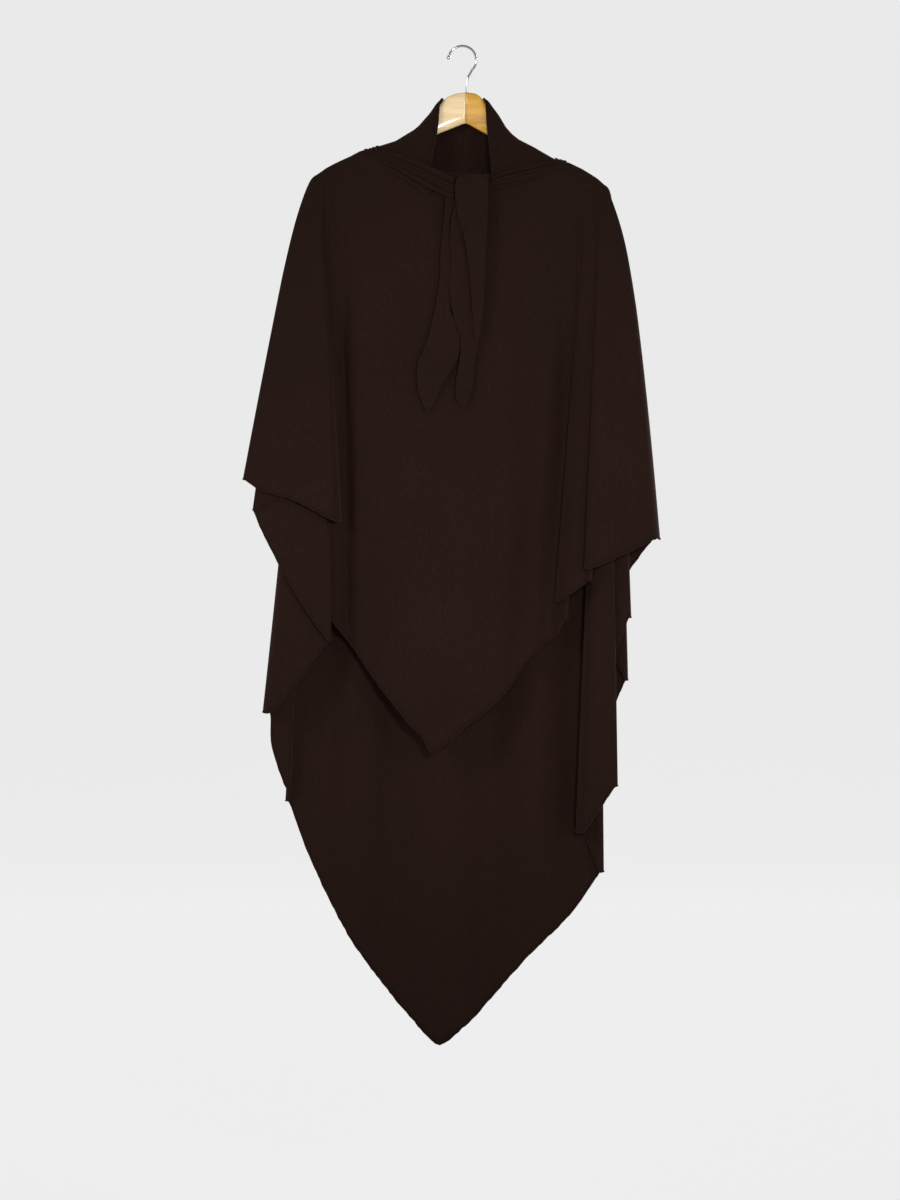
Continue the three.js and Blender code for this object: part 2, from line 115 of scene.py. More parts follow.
# Pale matt backdrop paper, a round floor that turns up into a wall all round, a little brighter behind
paper, paper_tree, paper_shader, paper_place = new_material("backdrop_paper")
depth_there = add_node(paper_tree, "ShaderNodeSeparateXYZ", {"Vector": paper_place}).outputs["Y"]
glow = add_node(
    paper_tree,
    "ShaderNodeMapRange",
    {"Value": depth_there, "From Min": -9, "From Max": 0.4, "To Min": 0.28, "To Max": 0.75},
).outputs["Result"]
paper_tree.links.new(glow, paper_shader.inputs["Emission Strength"])
paper_shader.inputs["Emission Color"].default_value = linear("#FFFFFF")
paper_shader.inputs["Base Color"].default_value = linear("#5A5A5A")
paper_shader.inputs["Roughness"].default_value = 0.9
paper.cycles.emission_sampling = "NONE"
FLOOR_Z = -1760
FLOOR_RADIUS = 9500
WALL_BEND = 3500
WALL_TOP = 12000
BOWL_TURNS = 72
bowl_side = [(0.5, FLOOR_Z), (4000, FLOOR_Z), (FLOOR_RADIUS, FLOOR_Z)]
bowl_side += [
    (FLOOR_RADIUS + WALL_BEND * math.sin(a), FLOOR_Z + WALL_BEND * (1 - math.cos(a)))
    for a in np.linspace(0.08, math.pi / 2, 16)
]
bowl_side += [(FLOOR_RADIUS + WALL_BEND, WALL_TOP)]
bowl_points = [
    (radius * math.cos(turn), radius * math.sin(turn), z)
    for radius, z in bowl_side
    for turn in np.linspace(0, 2 * math.pi, BOWL_TURNS, endpoint=False)
]
bowl_faces = [
    (r * BOWL_TURNS + t, r * BOWL_TURNS + (t + 1) % BOWL_TURNS,
     (r + 1) * BOWL_TURNS + (t + 1) % BOWL_TURNS, (r + 1) * BOWL_TURNS + t)
    for r in range(len(bowl_side) - 1)
    for t in range(BOWL_TURNS)
]
backdrop = mesh_object("backdrop", bowl_points, bowl_faces, paper)

world = bpy.data.worlds.new("studio")
world.use_nodes = True
world.node_tree.nodes["Background"].inputs["Color"].default_value = linear("#F4F5F7")
world.node_tree.nodes["Background"].inputs["Strength"].default_value = 0.25
bpy.context.scene.world = world
bpy.context.scene.view_settings.view_transform = "Standard"

# A softbox on each side in front, the left one stronger, a small hard spot in front that draws the folds,
# and a spot behind that lights the back of the veil
centre = (0, 0, -0.7)
lights = [
    soft_light("left_light", (-3.0, -3.2, 0.9), centre, 1.0, 58),
    soft_light("right_light", (2.8, -3.4, 0.3), centre, 1.0, 32),
    soft_light("front_light", (0.5, -3.4, -0.4), centre, 0.22, 310, cone=27),
    soft_light("back_light", (1.2, 5.0, 0.8), centre, 0.3, 480, cone=25),
]

# The cape
# One piece of dark brown crepe that hangs over both arms of the hanger: a short point in front, a long
# point behind, and the sides falling in folds. It is sewn with a narrow overlocked hem.
ROLL = 10  # radius of the cloth's roll over an arm
SEAM = 0.2  # half the gap between the cloth in front of the ridge and behind it
NAPE_Z = -80  # top of the cloth behind the neck
FOLD_RING = 10  # largest radius of a turned fold
FOLD_TOP = 1.2  # half the cloth that a turned fold takes up along the top
OPEN_DROP = 380  # drop below the roll in which the layers reach their own depth
ARM_LEFT = 223  # reach of the cloth along each arm
ARM_RIGHT = 210
ARM_TURN = math.pi * ROLL
BACK_MIDDLE = 2 * ARM_LEFT + ARM_TURN
TOP_LENGTH = BACK_MIDDLE + 2 * ARM_RIGHT + ARM_TURN

# x, z along the ridge of the shoulders, from left to right
SHOULDER = np.array([
    (-223, -188), (-209, -179), (-190, -171), (-164, -160), (-149, -152), (-126, -146), (-98, -137),
    (-67, -118), (-45, -93), (-39, -83.5), (-35.5, -78), (-32, -74.6), (-29, -73.4), (29, -73.4), (32, -74.4),
    (36, -78), (41, -84.5), (53, -101), (65, -121), (78, -133), (103, -146), (132, -163), (154, -169),
    (173, -178), (197, -192), (210, -202),
], float)
# x, z along the line under the ties, where the hood meets the cape
TIE_LINE = np.array([
    (-149, -155), (-120, -171), (-91, -186), (-48, -209), (-12, -220), (36, -209), (97, -190), (151, -177),
], float)

# How far the shoulders are drawn in at each drop, so that the cloth turns down softly over the arms' ends
SHOULDER_ROUNDING_LEFT = np.array([
    (150, 4), (188, 10), (198, 10.5), (210, 6.5), (226, 4.5), (256, 2.2), (289, 1), (335, 0),
], float)
SHOULDER_ROUNDING_RIGHT = np.array([
    (150, 2), (202, 4.5), (212, 5), (240, 4), (258, 3), (300, 1.5), (380, 0),
], float)


def mix(a, b, share):
    """The value that lies at a share of the way from a to b."""
    return a + (b - a) * share


def swept_y(x):
    """The hanger's arms sweep forwards to their ends."""
    return -18 * ((x - 4) / 215) ** 2


def chest_y(x):
    """Depth of the front cloth under the ties."""
    edge = swept_y(math.copysign(150, x)) - ROLL
    return mix(-28, edge, min(abs(x) / 150, 1) ** 4)


def top_of_cloth(place):
    """Where the cloth starts on the arms and where it has rolled over them, by the distance along its top.
    Distances run out along the left arm in front, round its end and back behind, then on to the right arm."""
    left = 0 <= place <= BACK_MIDDLE
    sign, end = (-1, ARM_LEFT) if left else (1, ARM_RIGHT)
    distance = TOP_LENGTH - place if place > BACK_MIDDLE else abs(place)
    if end < distance < end + ARM_TURN:
        angle = (distance - end) / ARM_TURN * math.pi
        out = np.array([sign * math.sin(angle), -math.cos(angle), 0])
        start = np.array([sign * end, swept_y(sign * end), np.interp(sign * end, *SHOULDER.T)])
        start = start + out * 3 * SEAM
        return start, start + out * ROLL + (0, 0, -ROLL)
    behind = distance > end
    x = sign * (2 * end + ARM_TURN - distance if behind else distance)
    if not behind and TIE_LINE[0, 0] < x < TIE_LINE[-1, 0]:
        start = np.array([x, chest_y(x), np.interp(x, *TIE_LINE.T)])
        return start, start + (0, 0, -ROLL)
    ridge = np.array([x, swept_y(x) + (SEAM if behind else -SEAM), np.interp(x, *SHOULDER.T)])
    nape = min(max((33 - abs(x)) / 7, 0), 1) if behind else 0
    start = mix(ridge, np.array([x, ridge[1] + ROLL, NAPE_Z]), nape)
    return start, np.array([x, ridge[1] + (ROLL if behind else -ROLL), start[2] - ROLL])


def smooth_line(points, places, closed=False):
    """A smooth line through points, read at places that are counted in points."""
    points, places = np.asarray(points, float), np.asarray(places, float)
    count = len(points)
    first = np.floor(places).astype(int)
    if not closed:
        first = np.clip(first, 0, count - 2)
        ends = [2 * points[0] - points[1], 2 * points[-1] - points[-2]]
        padded = np.vstack([ends[0], points, ends[1]])
        p0, p1, p2, p3 = (padded[first + k] for k in range(4))
    else:
        p0, p1, p2, p3 = (points[(first + k) % count] for k in (-1, 0, 1, 2))
    d0, d1, d2 = (
        np.maximum(np.linalg.norm(b - a, axis=1, keepdims=True) ** 0.5, 1e-3)
        for a, b in ((p0, p1), (p1, p2), (p2, p3))
    )
    t1 = ((p1 - p0) / d0 - (p2 - p0) / (d0 + d1) + (p2 - p1) / d1) * d1
    t2 = ((p2 - p1) / d1 - (p3 - p1) / (d1 + d2) + (p3 - p2) / d2) * d1
    t = (places - first)[:, None]
    a = 2 * p1 - 2 * p2 + t1 + t2
    b = -3 * p1 + 3 * p2 - 2 * t1 - t2
    return ((a * t + b) * t + t1) * t + p1


# Places along the hem from the front point round to the back point, in millimetres. At a turned fold the
# cloth lies at depth_in before the turn and at depth_out after it.
# fold, top, hem_x, depth_in, depth_out, hem_z, spread, settle
LEFT_HEM = [
    ("point", 0, -46, -34, -34, -1024, 1, 1),
    ("panel", 20, -60, -34, -34, -1000, 1, 1),
    ("panel", 40, -77, -34, -34, -984, 1, 1),
    ("panel", 60, -104, -34, -34, -951, 1, 1),
    ("panel", 80, -130, -33, -33, -916, 1, 1),
    ("panel", 105, -154, -32, -32, -880, 1, 1),
    ("panel", 130, -175, -31, -31, -853, 1, 1),
    ("panel", 148.5, -185, -30, -30, -841, 1, 1),
    ("panel", 150, -188, -30, -30, -837, 1, 1),
    ("tuck_under_flap", 190, -229, -27, -35, -775, 1, 1),
    ("flap_return", 204, -195, -35, -35, -712, 1, 1),
    ("flap_edge", 212, -176, -35, -64, -689, 0.8, 1),
    ("flap", 217, -210, -66, -66, -676.5, 0.9, 1),
    ("flap", 221, -249, -67, -67, -657.6, 0.9, 1),
    ("flap", 225, -270, -65, -65, -652, 0.93, 1),
    ("flap", 229, -296, -66, -66, -643, 0.95, 1),
    ("side_edge", 234.5, -317.6, -66, -60, -630, 0.95, 1),
    ("inner_turn", 236.5, -251, -60, -56.5, -655, 0.95, 1),
    ("second_edge", 238.5, -303.8, -56, -54, -673.5, 0.95, 1),
    ("upper_fold", 240.5, -293, -54, -54, -697, 1, 1),
    ("upper_fold", 243, -244, -52, -52, -791, 1, 1),
    ("upper_fold_edge", 246, -191, -51, -44, -862, 1.5, 0.8),
    ("lower_fold", 249.5, -241, -43, -43, -923, 1.2, 1),
    ("lower_fold_edge", 253, -290, -42, -16, -966, 1.3, 1),
    ("outer_fold", 257, -277, -10, -10, -1015, 1.2, 1),
    ("outer_fold_edge", 261, -251, -6, 0, -1080, 1.1, 1),
    ("tuck_behind", 267, -258, 4, 11, -1096, 1, 1),
    ("panel", 290, -223, 14, 14, -1177, 1, 1),
    ("panel", 325, -164, 8, 8, -1295, 1, 1),
    ("panel", 370, -96, 16, 16, -1388, 1, 1),
    ("panel", 400, -70, 17, 17, -1418, 1, 1),
    ("panel", 420, -57, 18, 18, -1433, 1, 1),
    ("nape", 436, -46, 18, 18, -1444, 1, 1),
    ("nape", 446, -40, 18, 18, -1449, 1, 1),
    ("back_point", 477, -34, 18, 18, -1452, 1, 1),
]
RIGHT_HEM = [
    ("panel", 20, -26, -35, -35, -1013, 1, 1),
    ("panel", 40, 0, -36, -36, -990, 1, 1),
    ("panel", 75, 51, -38, -38, -949, 1, 1),
    ("valley", 110, 93, -32, -32, -891, 1, 1),
    ("panel", 140, 127, -38, -38, -859, 1, 1),
    ("panel", 150.5, 135, -38, -38, -853, 1, 1),
    ("panel", 152, 138, -38, -38, -850, 1, 1),
    ("tuck_under_fold", 170, 152, -38, -45, -831, 1, 1),
    ("small_fold_edge", 181, 133, -45, -54, -806, 1, 1),
    ("small_fold", 188, 162, -54, -54, -790, 1, 1),
    ("tuck_under_flap", 194, 186, -54, -61, -776, 1, 1),
    ("flap_edge", 201, 175, -61, -74, -759, 0.9, 1),
    ("flap", 208, 232, -74, -74, -738, 0.7, 1),
    ("side_edge", 214, 285, -72, -6, -716, 0.6, 1),
    ("inner_tuck", 219, 215, -4, -10, -790, 0.9, 1),
    ("first_ruffle", 223, 244, -10, -16, -829, 0.9, 1),
    ("tuck_behind_band", 227, 207, -16, 2, -885, 0.9, 1),
    ("second_ruffle", 231, 240, 2, 8, -920, 0.9, 1),
    ("tuck_behind_band", 236, 198, 8, -22, -980, 0.9, 1),
    ("band_edge", 242, 224, -22, -29, -1074, 0.9, 1),
    ("band_fold", 249, 164, -29, 14, -1140, 1, 1),
    ("last_ruffle", 256, 205, 14, 23, -1200, 1, 1),
    ("panel", 275, 159, 22, 22, -1258, 1, 1),
    ("panel", 310, 91, 12, 12, -1326, 1, 1),
    ("panel", 360, 19, 20, 20, -1409, 1, 1),
    ("panel", 380, 8, 19, 19, -1419, 1, 1),
    ("panel", 398, -2, 18, 18, -1428, 1, 1),
    ("nape", 411, -12, 18, 18, -1437, 1, 1),
    ("nape", 421, -20, 18, 18, -1444, 1, 1),
    ("nape", 437, -27, 18, 18, -1448, 1, 1),
]


def stations_of(rows, top_of):
    """Three stations for a turned fold, one for a plain place on the hem."""
    made = []
    for i, (fold, top, hem_x, depth_in, depth_out, hem_z, spread, settle) in enumerate(rows):
        turns = [0]
        bulge = radius = 0
        if depth_in != depth_out:
            turns = [-1, 0, 1]
            bulge = np.sign(2 * hem_x - rows[i - 1][2] - rows[i + 1][2])
            radius = min(abs(depth_out - depth_in) / 2, FOLD_RING)
        for turn in turns:
            x = hem_x - (0 if turn == 0 else bulge * radius)
            hem = (x, mix(depth_in, depth_out, (turn + 1) / 2), hem_z)
            turned = len(turns) > 1
            made.append((fold, top_of(top + FOLD_TOP * turn), hem, spread, settle, turned))
    return made


# Soft creases that the cloth keeps when it hangs, each along a line on the veil. A crease stands out
# towards the front where its height is above zero.
# from_x, from_z, to_x, to_z, width, height
FRONT_CREASES = [
    (-10, -620, -101, -850, 13, 5),
    (162, -380, 128, -640, 30, -7),
    (128, -640, 80, -880, 34, -9),
    (-150, -300, -196, -640, 26, 5),
    (-174, -360, -168, -800, 9, -16),
    (158, -430, 124, -860, 17, -19),
    (60, -430, 20, -960, 40, 4),
    (-90, -320, -150, -860, 34, -4),
    (185, -300, 215, -700, 20, 4),
]
BACK_CREASES = [
    (-130, -420, -164, -1032, 18, 5),
    (-60, -350, -110, -1330, 34, -8),
    (-10, -300, -30, -1400, 38, 8),
    (45, -380, 40, -1340, 30, -7),
    (95, -420, 110, -1240, 30, 7),
    (-95, -500, -150, -1250, 22, 6),
    (140, -460, 160, -1100, 26, -5),
]


def crease_height(x, z, creases):
    """Height of the creases at places seen from the front."""
    total = np.zeros_like(x)
    for from_x, from_z, to_x, to_z, width, height in creases:
        along = np.array([to_x - from_x, to_z - from_z], float)
        length = np.hypot(*along)
        along /= length
        reach = (x - from_x) * along[0] + (z - from_z) * along[1]
        aside = (x - from_x) * along[1] - (z - from_z) * along[0]
        fade = np.clip((reach + 60) / 160, 0, 1) * np.clip((length + 200 - reach) / 200, 0, 1)
        total += height * fade * fade * (3 - 2 * fade) * np.exp(-((aside / width) ** 2))
    return total


def slack(points):
    """Uneven slack of the hung cloth, the same for all layers so that none cuts another."""
    shift = np.zeros(len(points))
    for i, (x, _, z) in enumerate(points):
        free = min(max((-230 - z) / 250, 0), 1)
        if free > 0:
            wide = noise.noise(Vector((x / 120, 3.1, z / 420)))
            fine = noise.noise(Vector((x / 38, 7.7, z / 150)))
            shift[i] = free * (7 * wide + 2.2 * fine)
    return shift


def side_by_side(grid, first=0):
    """Faces of a grid of points that is numbered row by row."""
    rows, columns = grid.shape[:2]
    return [
        (
            first + r * columns + c,
            first + (r + 1) * columns + c,
            first + (r + 1) * columns + c + 1,
            first + r * columns + c + 1,
        )
        for r in range(rows - 1)
        for c in range(columns - 1)
    ]


def apply_modifiers(made):
    """Makes the object's modifiers part of its mesh."""
    bpy.context.view_layer.update()
    whole = bpy.data.meshes.new_from_object(made.evaluated_get(bpy.context.evaluated_depsgraph_get()))
    made.modifiers.clear()
    made.data = whole
    return made


def cloth_wall(made, thickness=0.9):
    """Gives a sheet of cloth its thickness, half to each side."""
    wall = made.modifiers.new("wall", "SOLIDIFY")
    wall.thickness = thickness * MM
    wall.offset = 0
    wall.use_even_offset = False
    return apply_modifiers(made)


# Matt crinkled crepe, dark chocolate brown: fine upright crinkles about 2 mm apart over a fine weave
crepe, crepe_tree, crepe_shader, place = new_material("crepe_dark_brown")
stretched = add_node(
    crepe_tree, "ShaderNodeMapping", {"Vector": place, "Scale": (1, 1, 0.28)}, vector_type="POINT"
).outputs["Vector"]
crinkle = add_node(
    crepe_tree, "ShaderNodeTexNoise", {"Vector": stretched, "Scale": 430, "Detail": 2, "Roughness": 0.5}
).outputs["Fac"]
grain = add_node(
    crepe_tree, "ShaderNodeTexNoise", {"Vector": place, "Scale": 1300, "Detail": 1, "Roughness": 0.5}
).outputs["Fac"]
cloud = add_node(
    crepe_tree, "ShaderNodeTexNoise", {"Vector": place, "Scale": 5, "Detail": 2, "Roughness": 0.55}
).outputs["Fac"]
height = add_node(
    crepe_tree, "ShaderNodeMix", {"Factor": 0.3, "A": crinkle, "B": grain}, data_type="FLOAT"
).outputs["Result"]
bump = add_node(
    crepe_tree, "ShaderNodeBump", {"Height": height, "Strength": 0.55, "Distance": 1.1 * MM}
).outputs["Normal"]
tone = add_node(
    crepe_tree, "ShaderNodeMix", {"Factor": 0.35, "A": crinkle, "B": cloud}, data_type="FLOAT"
).outputs["Result"]
ramp = add_node(crepe_tree, "ShaderNodeValToRGB", {"Fac": tone})
ramp.color_ramp.elements[0].position = 0.3
ramp.color_ramp.elements[0].color = linear("#170B07")
ramp.color_ramp.elements[1].position = 0.7
ramp.color_ramp.elements[1].color = linear("#20110B")
crepe_tree.links.new(ramp.outputs["Color"], crepe_shader.inputs["Base Color"])
crepe_tree.links.new(bump, crepe_shader.inputs["Normal"])
crepe_shader.inputs["Roughness"].default_value = 0.85
crepe_shader.inputs["Sheen Weight"].default_value = 0.05
crepe_shader.inputs["Sheen Roughness"].default_value = 0.5
crepe_shader.inputs["Sheen Tint"].default_value = linear("#C8A090")
crepe_shader.inputs["Specular IOR Level"].default_value = 0.08

# The stations in order round the whole hem, starting at the edge of the right flap
ring = stations_of(LEFT_HEM, lambda top: top) + stations_of(RIGHT_HEM, lambda top: TOP_LENGTH - top)[::-1]
flap_edges = [i for i, s in enumerate(ring) if s[0] == "side_edge"]
right_edge = flap_edges[-2]
ring = ring[right_edge:] + ring[:right_edge]
hem_points = np.array([s[2] for s in ring])
tops = np.array([s[1] for s in ring])
spreads = np.array([s[3] for s in ring])
settles = np.array([s[4] for s in ring])
HEM_STEP = 6.5  # spacing of the columns along the hem
TURN_STEP = 3.2  # spacing in a turned fold
hem_places = []
for i, station in enumerate(ring):
    following = ring[(i + 1) % len(ring)]
    step = TURN_STEP if station[5] and following[5] else HEM_STEP
    gap = np.linalg.norm(hem_points[(i + 1) % len(ring)] - hem_points[i])
    parts = max(1, round(gap / step))
    hem_places += [i + k / parts for k in range(parts)]
hem_line = smooth_line(hem_points, hem_places, closed=True)

# Each column of the cloth rolls over the arm and then falls to its place on the hem
ROLL_STEPS = np.linspace(0, 1, 6)[:-1]
FALL_STEPS = np.concatenate([np.linspace(0, 0.955, 37), [0.972, 0.987, 1]])
columns = []
for place_on_hem, hem in zip(hem_places, hem_line):
    i = int(place_on_hem)
    share = place_on_hem - i
    j = (i + 1) % len(ring)
    ahead = tops[j] + TOP_LENGTH if tops[j] < tops[i] - 100 else tops[j]
    top = mix(tops[i], ahead, share)
    if top > TOP_LENGTH - ARM_RIGHT - ARM_TURN / 2:
        top -= TOP_LENGTH
    start, over = top_of_cloth(top)
    spread, settle = mix(spreads[i], spreads[j], share), mix(settles[i], settles[j], share)
    turned = np.sin(ROLL_STEPS * math.pi / 2)[:, None]
    rolled = mix(start, over, turned)
    rolled[:, 2] = mix(start[2], over[2], 1 - np.cos(ROLL_STEPS * math.pi / 2))
    z = mix(over[2], hem[2], FALL_STEPS)
    x = mix(over[0], hem[0], np.minimum(FALL_STEPS / settle, 1) ** spread)
    y = mix(over[1], hem[1], np.minimum((over[2] - z) / OPEN_DROP, 1))
    columns.append(np.vstack([rolled, np.column_stack([x, y, z])]))
grid = np.stack(columns, axis=1)

# The shoulders drawn in, and the cloth there eased into an even curve
SHOULDER_FROM = 150
EASING_PASSES = 10
flat_grid = grid.reshape(-1, 3)
flat_grid[:, 0] -= np.sign(flat_grid[:, 0]) * np.where(
    flat_grid[:, 0] < 0,
    np.interp(-flat_grid[:, 2], *SHOULDER_ROUNDING_LEFT.T),
    np.interp(-flat_grid[:, 2], *SHOULDER_ROUNDING_RIGHT.T),
) * np.clip((np.abs(flat_grid[:, 0]) - SHOULDER_FROM) / 60, 0, 1) ** 2
grid = flat_grid.reshape(grid.shape)
for _ in range(EASING_PASSES):
    high = np.clip((300 + grid[1:-1, :, 2]) / 60, 0, 1)
    level = high * np.clip((np.abs(grid[1:-1, :, 0]) - SHOULDER_FROM) / 40, 0, 1)
    grid[1:-1] += 0.5 * level[:, :, None] * ((grid[:-2] + grid[2:]) / 2 - grid[1:-1])
flat_grid = grid.reshape(-1, 3)

# Creases and slack. The front reaches this far along the top on each side, and the rest is the back
FRONT_TOP_LEFT = 236
FRONT_TOP_RIGHT = 214
front_columns = [
    tops[int(p)] < FRONT_TOP_LEFT or tops[int(p)] > TOP_LENGTH - FRONT_TOP_RIGHT for p in hem_places
]
relief = np.where(
    np.tile(front_columns, grid.shape[0]),
    crease_height(flat_grid[:, 0], flat_grid[:, 2], FRONT_CREASES),
    crease_height(flat_grid[:, 0], flat_grid[:, 2], BACK_CREASES),
)
flat_grid[:, 1] -= slack(flat_grid) + relief
grid = flat_grid.reshape(grid.shape)

# The sewn edge ripples a little, and less with each row above it
RIPPLE_DEPTH = 3.2
RIPPLE_RISE = 2.2
along_hem = np.cumsum(np.linalg.norm(np.diff(grid[-1], axis=0, prepend=grid[-1][:1]), axis=1))
ripple = np.array([[noise.noise(Vector((a / size, 0.7, 4.1))) for a in along_hem] for size in (9, 17)])
for row, share in ((-4, 0.15), (-3, 0.35), (-2, 0.65), (-1, 1)):
    grid[row, :, 1] += share * RIPPLE_DEPTH * ripple[1]
    grid[row, :, 2] += share * RIPPLE_RISE * ripple[0]

rows, count = grid.shape[:2]
faces = [
    (r * count + c, (r + 1) * count + c, (r + 1) * count + (c + 1) % count, r * count + (c + 1) % count)
    for r in range(rows - 1)
    for c in range(count)
]
cape = mesh_object("veil_cape", grid.reshape(-1, 3), faces, crepe)
cloth_wall(cape)
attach(cape, "root")
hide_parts("cape_front", "cape_back")

# The front of the hood
# The same cloth, carried over the arms and round the neck. The open edge that frames the face is turned
# in twice as a narrow stitched band, and the chin edge hangs in a shallow curve.

# top x, bottom x
HOOD_LEFT = [(-151, -150), (-143, -141), (-126, -122), (-98, -97), (-67, -78), (-48, -68), (-38, -62)]
# x, y, z, bottom x
FACE_OPENING = [
    (-30, -7, -75.6, -61),
    (-34.5, -10, -82, -60.5),
    (-35.5, -12, -92, -60),
    (-36.5, -13, -108, -58),
    (-40, -19, -134, -55),
    (-44.5, -23, -158, -53),
    (-47.6, -24.6, -174, -51),
    (-48, -25, -178.6, -48),
    (-46, -25.3, -180.4, -45),
    (-26.8, -27, -184.3, -26),
    (-2.4, -27.5, -187, -2),
    (21.8, -27, -187.8, 21),
    (39.5, -25.5, -188.2, 38),
    (42.3, -25, -186.5, 41),
    (42, -24.6, -181, 44),
    (39.4, -20.5, -152, 50),
    (36, -14.5, -118, 58),
    (34.5, -12, -92, 62),
    (33.5, -10, -82, 63),
    (30, -7, -75.6, 64),
]
# top x, bottom x
HOOD_RIGHT = [
    (36, 68), (44, 76), (53, 84), (65, 92), (78, 98), (103, 112), (132, 134), (148, 147), (155, 152),
]


def hood_columns():
    """Start, turn and bottom of the hood's cloth at each of its places."""
    made = []

    def bottom_at(x):
        """Where the cloth ends under the ties, a little below and behind their edge."""
        return np.array([x, chest_y(x) + 0.8, np.interp(x, *TIE_LINE.T) - 1.8])

    def over_arm(rows):
        """Adds the places where the cloth comes over an arm."""
        for top_x, bottom_x in rows:
            start = np.array([top_x, swept_y(top_x) - SEAM, np.interp(top_x, *SHOULDER.T)])
            bottom = bottom_at(bottom_x)
            level = max(start[2] - ROLL, mix(start[2], bottom[2], 0.6))
            made.append((start, np.array([top_x, start[1] - ROLL, level]), bottom))

    over_arm(HOOD_LEFT)
    for x, y, z, bottom_x in FACE_OPENING:
        start, bottom = np.array([x, y, z], float), bottom_at(bottom_x)
        made.append((start, mix(start, bottom, 0.15), bottom))
    over_arm(HOOD_RIGHT)
    return made


hood_cloth = hood_columns()
hood_places = np.linspace(0, len(hood_cloth) - 1, 190)
starts, turns, bottoms = (smooth_line([c[k] for c in hood_cloth], hood_places) for k in range(3))
hood_rows = []
for step in ROLL_STEPS:
    row = mix(starts, turns, math.sin(step * math.pi / 2))
    row[:, 2] = mix(starts[:, 2], turns[:, 2], 1 - math.cos(step * math.pi / 2))
    hood_rows.append(row)
for step in np.linspace(0, 1, 14):
    hood_rows.append(mix(turns, bottoms, step))
hood_grid = np.stack(hood_rows)
hood = mesh_object("hood", hood_grid.reshape(-1, 3), side_by_side(hood_grid), crepe)
cloth_wall(hood)
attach(hood, "root")
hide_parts("hood_front")


# The ties
# Two long soft bands of the same crepe, pleated where they come over the shoulders, crossed once in front
# under the chin, and left to hang in two pointed ends. Each is a doubled band, sewn into the shoulder seam.
def band(rows, rings, grooves=(), wrinkle=0.0, sides=44):
    """Points and faces of a soft band. Rows hold its middle x, y, z, its half width as x and z, its
    thickness and how far it leans back, in degrees. A groove has its place across, its depth and width."""
    rows = np.array(rows, float)
    line = smooth_line(rows, np.linspace(0, len(rows) - 1, rings))
    turn = np.linspace(0, 2 * math.pi, sides, endpoint=False)
    across, thick = np.cos(turn), np.sin(turn)
    dent = sum(depth * np.exp(-(((across - at) / width) ** 2)) for at, depth, width in grooves)
    flat = np.sign(thick) * np.abs(thick) ** 0.6 - dent * np.clip(thick, 0, None) ** 0.3
    points = []
    for x, y, z, half_x, half_z, thickness, lean in line:
        out = np.array([0, -math.cos(math.radians(lean)), math.sin(math.radians(lean))])
        side = np.outer(across, [half_x, 0, half_z])
        bumps = [noise.noise(Vector(p * (0.07, 0, 0.11))) for p in side + (x, y, z)]
        points.append((x, y, z) + side + np.outer(flat * thickness / 2 + wrinkle * np.array(bumps), out))
    points = np.array(points)
    return points, closed_faces(points)


def closed_faces(points):
    """Faces round rings of points, with both ends closed, all facing outwards."""
    rings, sides = points.shape[:2]
    faces = [
        (r * sides + s, r * sides + (s + 1) % sides, (r + 1) * sides + (s + 1) % sides, (r + 1) * sides + s)
        for r in range(rings - 1)
        for s in range(sides)
    ]
    faces += [tuple(range(sides))[::-1], tuple((rings - 1) * sides + s for s in range(sides))]
    flat = points.reshape(-1, 3) - points.reshape(-1, 3).mean(0)
    quads = np.array(faces[:-2])
    volume = np.einsum("ij,ij->i", flat[quads[:, 0]], np.cross(flat[quads[:, 1]], flat[quads[:, 2]])).sum()
    return [face[::-1] for face in faces] if volume < 0 else faces


def joined(name, parts, material):
    """One object from several parts, each given as its points and faces."""
    points, faces, first = [], [], 0
    for part_points, part_faces in parts:
        points.append(part_points.reshape(-1, 3))
        faces += [tuple(first + i for i in face) for face in part_faces]
        first += len(points[-1])
    return mesh_object(name, np.vstack(points), faces, material)


# x, y, z, half width x, half width z, thickness, lean
strap_left = joined("left_tie", [
    band([
        (-133, -7.6, -146.6, 11, 2.8, 1.8, 90),
        (-132, -15.2, -150.2, 9, 5, 3, 45),
        (-126, -22.5, -158, 4.5, 6.5, 4, 12),
        (-91, -32, -171, 3, 10.5, 7, 0),
        (-50, -36, -190.5, 4, 13.5, 8, 0),
        (-25, -39, -203.5, 3, 15, 8.5, 0),
        (-14, -40.5, -207.5, 1.5, 14.8, 7, 0),
        (-7, -37, -207.5, 0.5, 13.8, 5, 0),
        (4, -34, -207, 0, 12, 4, 0),
    ], 90, [(-0.45, 1.7, 0.09), (-0.02, 1.2, 0.08), (0.42, 1.6, 0.1)], 1.2),
    band([
        (-141, -13.5, -151, 5, 2.4, 1.8, 60),
        (-129, -21.8, -162, 2, 4.4, 3, 15),
        (-97, -28.8, -179, 1.5, 8, 3.6, 0),
        (-70, -30.6, -195.5, 1, 9, 3.6, 0),
        (-56, -31, -205, 1, 9.4, 3.4, 0),
        (-48, -31, -208.5, 0.5, 4.6, 2.6, 0),
        (-44, -31, -209.5, 0, 1, 1, 0),
    ], 60, [(-0.1, 1.5, 0.13)], 0.6),
], crepe)
